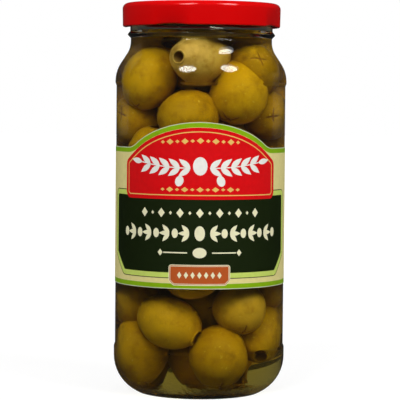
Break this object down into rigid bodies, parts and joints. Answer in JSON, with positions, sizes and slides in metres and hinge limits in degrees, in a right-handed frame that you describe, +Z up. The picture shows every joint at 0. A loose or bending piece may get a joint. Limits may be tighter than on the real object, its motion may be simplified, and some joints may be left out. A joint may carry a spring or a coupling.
{
  "type": "jar of green olives",
  "caption": "Glass jar of pitted green olives in brine, with a heel and shoulder ring, a paper label with an arched top edge and a red twist-off metal lid.",
  "frame": {"origin": "centre of the jar's bearing ring, on the surface that it stands on", "axes": "+Z up along the jar's axis, -Y towards the front of the label, +X to the right of somebody facing the label"},
  "size_m": [0.0712, 0.0712, 0.1619],
  "materials": {
    "glass": "clear flint glass, very slightly green in its thick base",
    "olives_in_brine": "wet yellow-green olives in a pale amber brine",
    "lid_lacquer": "glossy red lacquer on tinplate",
    "label_paper": "printed and varnished label paper, semi-gloss"
  },
  "bodies": {
    "root": {"jar": "glass", "brine": "olives_in_brine", "lid": "lid_lacquer", "label": "label_paper"}
  },
  "joints": []
}
